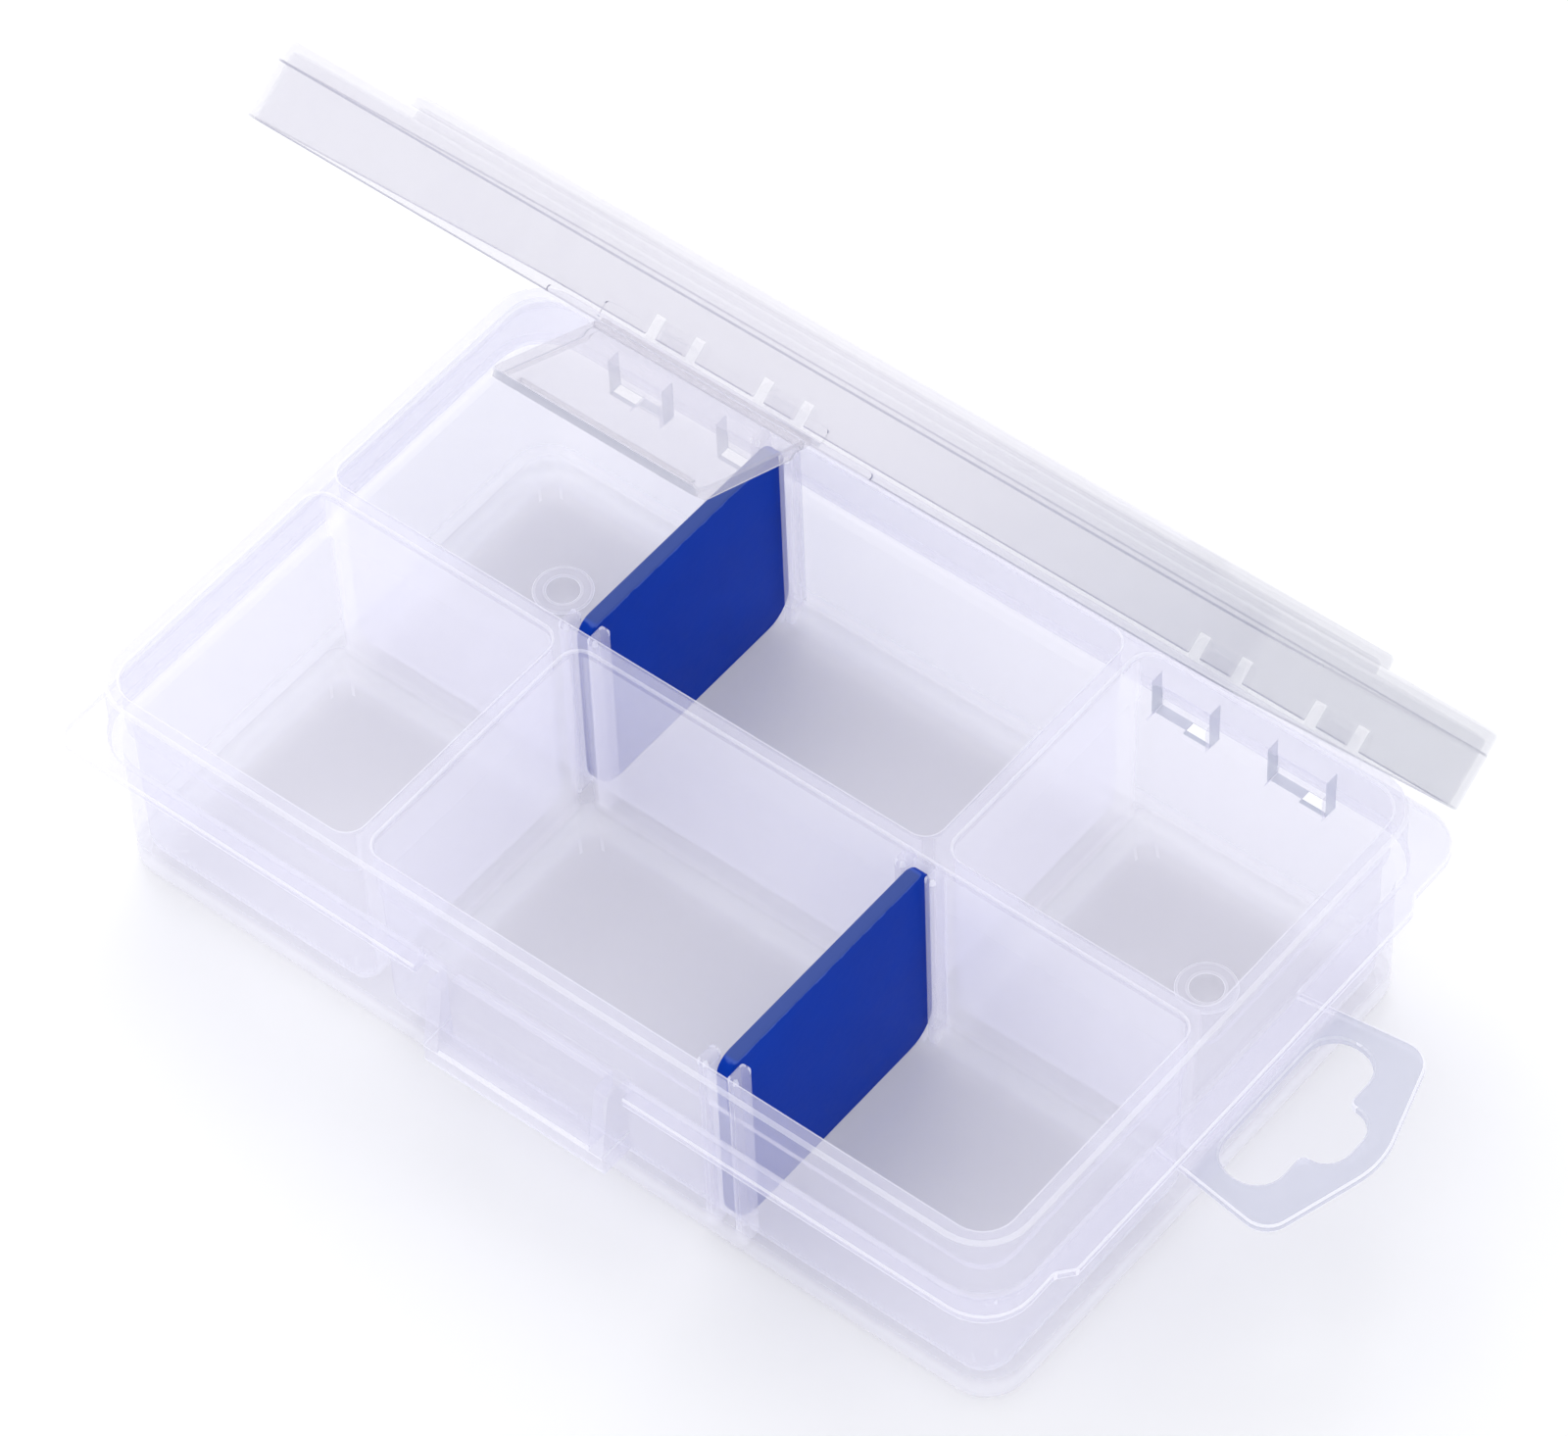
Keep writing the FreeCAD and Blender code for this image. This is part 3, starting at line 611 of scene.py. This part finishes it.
def cavity(x0, x1, outer_left, outer_right, side):
    """One moulded compartment space, with a filleted floor, the ledge on its outer sides and a soft mouth."""
    radii = [PARTITION_CORNER, PARTITION_CORNER,
             CELL_CORNER if outer_right else PARTITION_CORNER,
             CELL_CORNER if outer_left else PARTITION_CORNER]

    def level(grow, ledge):
        left = x0 - grow - (ledge if outer_left else 0)
        right = x1 + grow + (ledge if outer_right else 0)
        near = HALF_PARTITION - grow
        far = INNER_Y + grow + ledge
        rounds = [max(radius + grow, FLOOR_CORNER) for radius in radii]
        outline = rectangle(left, right, near, far, rounds)
        return [(side * x, side * y) for x, y in outline]

    layers = []
    for i in range(ARC_STEPS + 1):
        angle = math.pi / 2 * i / ARC_STEPS
        inset = CELL_FILLET * (1 - math.sin(angle)) + CELL_DRAFT
        layers.append((level(-inset, 0), FLOOR_TOP + CELL_FILLET * (1 - math.cos(angle))))
    layers.append((level(0, 0), LEDGE))
    layers.append((level(0, LEDGE_WIDTH), LEDGE + 0.15))
    layers.append((level(0, LEDGE_WIDTH), RIM_TOP - 0.4))
    layers.append((level(0.12, LEDGE_WIDTH), RIM_TOP - 0.12))
    layers.append((level(0.4, LEDGE_WIDTH), RIM_TOP))
    layers.append((level(0.4, LEDGE_WIDTH), RIM_TOP + 4))
    return stack("cavity", layers)


def cavities():
    """The four fixed compartments of the tub; the dividers make six of them."""
    wall_near = CROSS_X - HALF_PARTITION
    wall_far = CROSS_X + HALF_PARTITION
    return [
        cavity(start, end, outer_left, outer_right, side)
        for side in (1, -1)
        for start, end, outer_left, outer_right in (
            (-INNER_X, wall_near, True, False),
            (wall_far, INNER_X, False, True),
        )
    ]


def flange():
    """The flat flange round the rim, narrower at its two right-hand ends."""
    step_front, step_back, half_ramp = -36.8, 40.8, 1.2
    front_right = RIM_X + 1.9
    back_right = RIM_X + 2.4
    full_right = right_flange_high.x
    outline = rounded([
        (left_flange_low.x, front_flange_low.y, 3.5),
        (front_right, front_flange_low.y, RIM_CORNER),
        (front_right, step_front - half_ramp, 0.9),
        (full_right, step_front + half_ramp, 0.9),
        (full_right, step_back - half_ramp, 0.9),
        (back_right, step_back + half_ramp, 0.9),
        (back_right, flange_high.y, 7.0),
        (left_flange_low.x, flange_high.y, 7.0),
    ])
    plate = soften(stack("flange", [(outline, FLANGE_BOTTOM), (outline, FLANGE_TOP)]), 0.3)
    gap = block("gap", (-LATCH_GAP, LATCH_GAP), (front_flange_low.y - 1, -RIM_Y + 0.02),
                (FLANGE_BOTTOM - 1, FLANGE_TOP + 1))
    return combine(plate, "DIFFERENCE", [gap])


def hang_tab():
    """The tab on the right, with a cross-shaped hanging slot."""
    middle = (tab_low.y + tab_high.y) / 2
    root_half, shoulder_half = 16.2, 18.9
    root_x, shoulder_x, nose_x = TUB_X - 0.6, RIM_X + 19.3, RIM_X + 25.0
    outline = rounded([
        (root_x, middle - root_half, 0.5),
        (shoulder_x, middle - shoulder_half, 4.0),
        (nose_x, middle, 14.0),
        (shoulder_x, middle + shoulder_half, 4.0),
        (root_x, middle + root_half, 0.5),
    ])
    plate = soften(stack("tab", [(outline, tab_low.z), (outline, tab_high.z)]), 0.3)

    def slot(grow):
        """A long slot with a rounded lobe towards the tab's nose."""
        inner, outer, nose = RIM_X + 5.6 - grow, RIM_X + 15.4 + grow, RIM_X + 20.4 + grow
        half, lobe = 13.9 + grow, 5.25 + grow
        neck = 1.1 - grow
        return rounded([
            (inner, middle - half, 4.8), (outer, middle - half, 4.4), (outer, middle - lobe, neck),
            (nose, middle - lobe, 3.8), (nose, middle + lobe, 3.8), (outer, middle + lobe, neck),
            (outer, middle + half, 4.4), (inner, middle + half, 4.8),
        ])

    chamfer = 0.25
    hole = stack("slot", [
        (slot(chamfer), tab_low.z - 0.5), (slot(chamfer), tab_low.z), (slot(0), tab_low.z + chamfer),
        (slot(0), tab_high.z - chamfer), (slot(chamfer), tab_high.z), (slot(chamfer), tab_high.z + 0.5),
    ])
    return combine(plate, "DIFFERENCE", [hole])


def catch():
    """The catch boss on the front wall: bottom bar, two sloping cheeks and the stepped pocket back."""
    reach = -TUB_Y + 0.5
    bar = rounded([
        (bar_low.y, bar_low.z, 0.8), (reach, bar_low.z, 0.1),
        (reach, bar_high.z, 0.1), (bar_low.y, bar_high.z, 0.5),
    ])
    parts = [stack("bar", [(bar, bar_low.x), (bar, bar_high.x)], along_x)]
    cheek_width = 2.4
    slope = [(cheek_low.y, cheek_low.z - 0.3), (reach, cheek_low.z - 0.3),
             (reach, cheek_high.z + 0.3), (front_flange_low.y, cheek_high.z)]
    for sign in (-1, 1):
        ends = sorted((sign * cheek_high.x, sign * (cheek_high.x - cheek_width)))
        parts.append(stack("cheek", [(slope, ends[0]), (slope, ends[1])], along_x))
    back = [(pocket_low.y, pocket_low.z - 0.3), (reach, pocket_low.z - 0.3),
            (reach, pocket_high.z + 2.3), (pocket_low.y, pocket_high.z)]
    parts.append(stack("pocket", [(back, pocket_low.x - 0.3), (back, pocket_high.x + 0.3)], along_x))
    return parts


def hinge_windows():
    """Windows through the back wall, each with a half-round tongue on its sill."""
    tools = []
    for station in STATIONS:
        hole = block("window", (station - WINDOW_HALF, station + WINDOW_HALF), (INNER_Y - 2, RIM_Y + 0.02),
                     (WINDOW_LOW, WINDOW_HIGH))
        centre = station - math.copysign(TONGUE_OFFSET, station)
        circle = arc((centre, WINDOW_LOW), TONGUE_RADIUS, 0, math.tau, 28)[:-1]
        tongue = stack("tongue", [(circle, -60), (circle, -30)], towards_front)
        tools.append(combine(hole, "DIFFERENCE", [tongue]))
    return tools


def make_tub(finish):
    """The whole tub moulding, with its bead and flange open where the latch comes down."""
    tub = combine(tub_hull(), "DIFFERENCE", cavities())
    gap = block("bead_gap", (-LATCH_GAP, LATCH_GAP), (-RIM_Y - 2, -RIM_Y),
                (FLANGE_TOP - 0.05, BEAD_TOP + 0.05))
    combine(tub, "DIFFERENCE", [gap])
    shell_inside = block("inside", (-UPPER_X, UPPER_X), (-UPPER_Y, UPPER_Y), (FLANGE_BOTTOM - 2, RIM_TOP))
    ring = combine(flange(), "DIFFERENCE", [shell_inside])
    combine(tub, "UNION", [ring, hang_tab()] + catch())
    combine(tub, "DIFFERENCE", hinge_windows())
    return deliver(tub, "tub", finish, "tub_plastic",
                   "tub_floor", "front_wall", "left_wall", "right_wall", "corner_walls", "back_wall",
                   "centre_wall", "back_cross_wall", "front_cross_wall", "front_flange", "back_flange",
                   "left_flange", "right_flange", "flange_corners", "catch_bar", "catch_cheeks",
                   "catch_pocket_back", "hang_tab")


def make_guides(tree, finish):
    """Pairs of round-nosed posts that hold each divider between them."""
    slot_half, thick, deep = 1.7, 1.8, 3.5
    posts = []
    for sign in (-1, 1):
        ends = sorted((sign * slot_half, sign * (slot_half + thick)))
        outline = rectangle(ends[0], ends[1], -deep / 2, deep / 2, [0.6] * 4)
        small = rectangle(ends[0] + 0.35, ends[1] - 0.35, 0.35 - deep / 2, deep / 2 - 0.35, [0.3] * 4)
        layers = [(outline, FLOOR_TOP - 0.3), (outline, RIM_TOP - 0.7), (small, RIM_TOP - 0.1)]
        posts.append(stack("post", layers))
    pair = combine(posts[0], "UNION", [posts[1]])
    pair.name = "divider_guide_posts"
    reach = 2.7
    near = HALF_PARTITION + reach - deep / 2
    far = INNER_Y - reach + deep / 2
    repeated(pair, tree, {
        "Count": 2, "Start": metres(-CROSS_X, near, 0), "Step": metres(0, far - near, 0),
        "Second Turn": (0, 0, math.pi), "Second Shift": (0, 0, 0), "Finish": finish,
    })
    return deliver(pair, "tub", finish, "tub_plastic", "back_divider_guides", "front_divider_guides")


def hinge_row(piece, tree, finish):
    """Four copies of a piece, one for each hinge station."""
    return repeated(piece, tree, {
        "Count": 2, "Start": metres(STATION_INNER, 0, 0), "Step": metres(STATION_PITCH, 0, 0),
        "Second Turn": (0, 0, 0), "Second Shift": metres(-2 * STATION_INNER - STATION_PITCH, 0, 0),
        "Finish": finish,
    })


def make_ears(tree, finish):
    """Pairs of ears that stand on the back flange and carry the pins."""
    radius, start, thick = 2.3, 2.85, 1.6
    foot = FLANGE_TOP - 0.2
    head = arc((HINGE_Y, HINGE_Z), radius, 0, math.pi, 14)
    front = HINGE_Y - radius
    profile = head + [(front, foot), (flange_high.y - 0.2, foot)]
    sides = []
    for sign in (-1, 1):
        ends = sorted((sign * start, sign * (start + thick)))
        sides.append(stack("ear", [(profile, ends[0]), (profile, ends[1])], along_x))
    pair = soften(combine(sides[0], "UNION", [sides[1]]), 0.25)
    pair.name = "hinge_ear_pairs"
    return deliver(hinge_row(pair, tree, finish), "tub", finish, "tub_plastic", "hinge_ears")


def make_pins(tree, finish):
    """The pins between the ears, one for each knuckle."""
    radius, half_length = 1.2, 2.9
    circle = arc((HINGE_Y, HINGE_Z), radius, 0, math.tau, 24)[:-1]
    pin = stack("hinge_pin_row", [(circle, -half_length), (circle, half_length)], along_x)
    return deliver(hinge_row(pin, tree, finish), "tub", finish, "tub_plastic", "hinge_pins")


def make_ring_marks(tree, finish):
    """Faint raised rings left on the floor by ejector pins."""
    middle, half_width, half_height, steps = 3.55, 1.05, 0.12, 12
    shape = bmesh.new()
    rings = []
    for k in range(steps):
        angle = math.tau * k / steps
        outline = arc((0, 0), middle + half_width * math.cos(angle), 0, math.tau, 40)[:-1]
        height = FLOOR_TOP + half_height * math.sin(angle)
        rings.append([shape.verts.new(Vector((x, y, height)) * MM) for x, y in outline])
    for k, low in enumerate(rings):
        high = rings[(k + 1) % len(rings)]
        for i in range(len(low)):
            j = (i + 1) % len(low)
            shape.faces.new((low[i], low[j], high[j], high[i]))
    ring = finished("floor_ring_marks", shape)
    repeated(ring, tree, {
        "Count": 1, "Start": metres(-59.0, 28.0, 0), "Step": (0, 0, 0),
        "Second Turn": (0, 0, 0), "Second Shift": metres(117.5, -1.0, 0), "Finish": finish,
    })
    return deliver(ring, "tub", finish, "tub_plastic")


# ---------------------------------------------------------------- lid and latch

def opened(piece):
    """Turns a piece drawn with the lid shut to the lid's opening, about the hinge line."""
    hinge = Matrix.Translation(metres(0, HINGE_Y, HINGE_Z))
    piece.data.transform(hinge @ Matrix.Rotation(-LID_OPENING, 4, "X") @ hinge.inverted())
    return piece


def hung(piece):
    """Turns a piece drawn hanging from the latch's hinge line to its place on the open lid."""
    line = Matrix.Translation(metres(0, LID_FRONT - LATCH_OUT, LID_LOW))
    piece.data.transform(line @ Matrix.Rotation(-LATCH_TURN, 4, "X"))
    return opened(piece)


def lid_outline(inset):
    """Outline of the lid, drawn in by an inset."""
    radius = max(LID_CORNER - inset, 1.0)
    return rectangle(inset - LID_X, LID_X - inset, LID_FRONT + inset, LID_BACK - inset, [radius] * 4)


def panel_outline(inset):
    """Outline of the lid's raised panel, drawn in by an inset."""
    edge = PANEL_INSET + inset
    radius = max(PANEL_CORNER - inset, 1.0)
    return rectangle(edge - LID_X, LID_X - edge, LID_FRONT + edge, LID_BACK - edge, [radius] * 4)


def make_lid(finish):
    """One hollow shell: inside of the panel, down the skirt, round its edge and back over the top."""
    top = LID_LOW + LID_HEIGHT
    inside = top - LID_SKIN
    layers = [
        (panel_outline(LID_WALL + 0.8), inside + PANEL_RISE),
        (panel_outline(LID_WALL + 0.2), inside + PANEL_RISE - 0.4),
        (panel_outline(LID_WALL), inside),
        (lid_outline(LID_WALL + 0.8), inside),
        (lid_outline(LID_WALL + 0.2), inside - 0.3),
        (lid_outline(LID_WALL), inside - 0.9),
        (lid_outline(LID_WALL), LID_LOW + 0.25),
        (lid_outline(LID_WALL - 0.25), LID_LOW),
        (lid_outline(0.25), LID_LOW),
        (lid_outline(0), LID_LOW + 0.25),
        (lid_outline(0), top - 3.6),
        (lid_outline(0.12), top - 3.3),
        (lid_outline(0.12), top - 0.9),
        (lid_outline(0.35), top - 0.3),
        (lid_outline(0.9), top),
        (panel_outline(0), top),
        (panel_outline(0.15), top + PANEL_RISE - 0.5),
        (panel_outline(0.65), top + PANEL_RISE),
    ]
    lid = stack("lid_moulding", layers)
    notches = []
    for station in STATIONS:
        for sign in (-1, 1):
            ends = sorted((station + sign * 2.5, station + sign * 4.8))
            notches.append(block("notch", ends, (LID_BACK - LID_WALL - 2, LID_BACK + 2),
                                 (LID_LOW - 1, HINGE_Z + 2.65)))
    combine(lid, "DIFFERENCE", notches)
    bands = []
    for half, rise in ((27.0, 1.0), (18.5, 3.0)):
        outline = rectangle(-half, half, LID_LOW, LID_LOW + rise, [0.45] * 4)
        layers = [(outline, -LID_FRONT - 0.4), (outline, -LID_FRONT + 0.45)]
        bands.append(stack("band", layers, towards_front))
    combine(lid, "UNION", bands)
    return deliver(opened(lid), "lid", finish, "lid_plastic",
                   "lid_panel", "lid_front_skirt", "lid_back_skirt", "lid_left_skirt", "lid_right_skirt",
                   "lid_corner_skirts")


def make_knuckles(tree, finish):
    """Open-bottomed clips behind the lid that snap over the pins."""
    outer, bore = 2.3, 1.25
    half_mouth = 0.95
    outer_start = -math.pi / 2 + math.asin(half_mouth / outer)
    bore_start = -math.pi / 2 + math.asin(half_mouth / bore)
    around = arc((HINGE_Y, HINGE_Z), outer, outer_start, -2 * outer_start + math.pi, 24)
    round_bore = arc((HINGE_Y, HINGE_Z), bore, bore_start, -2 * bore_start + math.pi, 24)
    profile = around + list(reversed(round_bore))
    clip = stack("lid_knuckle_clips", [(profile, -2.5), (profile, 2.5)], along_x)
    return deliver(opened(hinge_row(clip, tree, finish)), "lid", finish, "lid_plastic", "lid_knuckles")


def latch_section(down):
    """Section of the flap at a distance below its hinge line, with a rib on each edge."""
    near_end = max(down - (LATCH_END - LATCH_CORNER), 0)
    half = LATCH_X - LATCH_CORNER + math.sqrt(max(LATCH_CORNER ** 2 - near_end ** 2, 0))
    bend = max(down - LATCH_BEND, 0) / (LATCH_END - LATCH_BEND) * LATCH_LIP
    rise = min((down - RIB_START) / 0.8, (RIB_END - down) / 1.6, 1)
    rib = 0.02 + RIB_DEPTH * max(rise, 0)
    face = -LATCH_THICK
    points = [
        (-half + 0.3, face), (half - 0.3, face), (half, face + 0.3), (half, rib - 0.01),
        (half - 0.2, rib), (half - RIB_WIDTH + 0.1, rib), (half - RIB_WIDTH, 0),
        (-half + RIB_WIDTH, 0), (-half + RIB_WIDTH - 0.1, rib), (-half + 0.2, rib),
        (-half, rib - 0.01), (-half, face + 0.3),
    ]
    return [(x, y - bend) for x, y in points]


def hanging(u, v, w):
    """Outline in x and y, layers going down."""
    return (u, v, -w)


def make_latch(finish):
    """The flap with its edge ribs and bent lip, and a mark on the lip for a painted edge line along its bend.
    """
    straight = [LATCH_ROOT, LATCH_ROOT + 0.3, RIB_START, RIB_START + 0.8, 12.0]
    corner_start = LATCH_END - LATCH_CORNER
    curved = [corner_start + LATCH_CORNER * math.sin(math.pi / 2 * i / 12) for i in range(13)]
    layers = [(latch_section(down), down) for down in straight + curved]
    flap = stack("latch_flap_moulding", layers, hanging)
    # The lip mark: a painted edge line along the bent lip.
    painted_lip_line = flap.data.attributes.new("lip", "FLOAT", "POINT")
    for vertex in flap.data.vertices:
        painted_lip_line.data[vertex.index].value = min(max((-vertex.co.z / MM - LATCH_BEND + 0.4) / 0.6, 0), 1) * 0.8
    return deliver(hung(flap), "latch", finish, "latch_plastic", "latch_flap", "latch_sides")


def make_hook(finish):
    """The bar inside the flap that snaps under the catch."""
    profile = [(-0.02, -20.8), (-0.02, -22.6), (0.9, -22.45), (1.3, -21.9), (1.3, -21.1), (0.9, -20.8)]
    hook = stack("latch_hook_bar", [(profile, -14.4), (profile, 14.4)], along_x)
    return deliver(hung(soften(hook, 0.15)), "latch", finish, "latch_plastic", "latch_hook")


def make_web(finish):
    """The thin strip that bends between the lid's edge and the flap."""
    layers = []
    for i in range(9):
        down = (LATCH_ROOT + 0.05) * i / 8
        thin = 0.40 + 0.5 * abs(i / 4 - 1) ** 3
        outline = [(-LATCH_X, -thin), (LATCH_X, -thin), (LATCH_X, 0), (-LATCH_X, 0)]
        layers.append((outline, down))
    web = hung(stack("latch_hinge_web", layers, hanging))
    web.data.materials.append(finish)
    smooth(web)
    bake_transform(web)
    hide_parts("latch_living_hinge")
    return web


# ---------------------------------------------------------------- dividers

def make_divider(row, finish):
    """A flat blue plate with rounded feet and shoulders."""
    low, high = extent(f"{row}_divider")
    foot, shoulder = 5.0, 3.0
    outline = rectangle(low.y, high.y, low.z, high.z, [foot, foot, shoulder, shoulder])
    plate = stack(f"{row}_divider_plate", [(outline, low.x), (outline, high.x)], along_x)
    return deliver(soften(plate, 0.35, 3), f"{row}_divider", finish, "divider_plastic", f"{row}_divider")


# ---------------------------------------------------------------- stage

def make_camera():
    """A long lens, looking down on the open box from its front right."""
    azimuth, elevation, roll = math.radians(40.72), math.radians(50.96), math.radians(-2.53)
    ahead = Vector((-math.sin(azimuth) * math.cos(elevation), math.cos(azimuth) * math.cos(elevation),
                    -math.sin(elevation)))
    level = ahead.cross(Vector((0, 0, 1))).normalized()
    above = level.cross(ahead)
    right = math.cos(roll) * level + math.sin(roll) * above
    up = math.cos(roll) * above - math.sin(roll) * level
    turn = Matrix((right, up, -ahead)).transposed().to_4x4()
    lens = bpy.data.cameras.new("camera")
    lens.lens = 186.1
    lens.sensor_width = 36.0
    lens.clip_end = 20.0
    camera = bpy.data.objects.new("camera", lens)
    stand = metres(458.79, -525.68, 904.13)
    camera.matrix_world = Matrix.Translation(stand) @ turn
    bpy.context.scene.collection.objects.link(camera)
    bpy.context.scene.camera = camera


def make_light(name, place, aim, size, power):
    """A soft rectangular lamp."""
    lamp = bpy.data.lights.new(name, "AREA")
    lamp.shape = "RECTANGLE"
    lamp.size, lamp.size_y = size
    lamp.energy = power
    light = bpy.data.objects.new(name, lamp)
    light.location = place
    light.rotation_euler = (Vector(aim) - Vector(place)).to_track_quat("-Z", "Y").to_euler()
    bpy.context.scene.collection.objects.link(light)


def make_stage():
    """A plain pale floor just under the box, pale surroundings and two lamps."""
    half, level = 4.0, -0.0003
    shape = bmesh.new()
    signs = ((-1, -1), (1, -1), (1, 1), (-1, 1))
    corners = [shape.verts.new((x * half, y * half, level)) for x, y in signs]
    shape.faces.new(corners)
    ground = finished("pale_floor", shape)
    paint, tree, shader, place = fresh_material("pale_floor")
    attach(tree, shader, {
        "Base Color": mixed(noise(place, 3.0), (0.93, 0.93, 0.935, 1.0), (0.95, 0.95, 0.955, 1.0)),
        "Roughness": 0.9,
    })
    ground.data.materials.append(paint)
    world = bpy.data.worlds.new("studio")
    world.use_nodes = True
    world.node_tree.nodes["Background"].inputs["Color"].default_value = (0.97, 0.975, 1.0, 1.0)
    world.node_tree.nodes["Background"].inputs["Strength"].default_value = 0.95
    bpy.context.scene.world = world
    make_light("overhead", (-0.49, 0.57, 0.93), (0, 0, 0), (0.9, 0.5), 4.5)
    make_light("front_fill", (0.5, -0.9, 0.6), (0, 0, 0.03), (0.8, 0.5), 0.8)
    bpy.context.scene.view_settings.view_transform = "Standard"
    bpy.context.scene.cycles.transparent_max_bounces = 48


def main():
    make_camera()
    make_stage()
    tree = repeating_tree()
    tub_finish = frosted_tub()
    lid_finish = clear_moulding("clear_lid", 0.25, (0.68, 0.66, 0.74, 1.0), (0.20, 0.21, 0.32, 1.0), 0.70,
                                (0.44, 0.45, 0.54, 1.0))
    latch_finish = clear_moulding("clear_latch", 0.32, (0.62, 0.60, 0.67, 1.0), (0.50, 0.51, 0.62, 1.0), 0.60,
                                  (0.62, 0.60, 0.67, 1.0))
    hinge_finish = clear_moulding("clear_hinge", 0.04, (0.78, 0.78, 0.86, 1.0), (0.80, 0.80, 0.90, 1.0), 0.02,
                                  (0.70, 0.70, 0.80, 1.0))
    blue = royal_blue(extent("back_divider")[1].z)
    make_tub(tub_finish)
    make_guides(tree, tub_finish)
    make_ears(tree, hinge_finish)
    make_pins(tree, hinge_finish)
    make_ring_marks(tree, tub_finish)
    make_lid(lid_finish)
    make_knuckles(tree, hinge_finish)
    make_latch(latch_finish)
    make_hook(latch_finish)
    make_web(latch_finish)
    for row in ("back", "front"):
        make_divider(row, blue)


main()
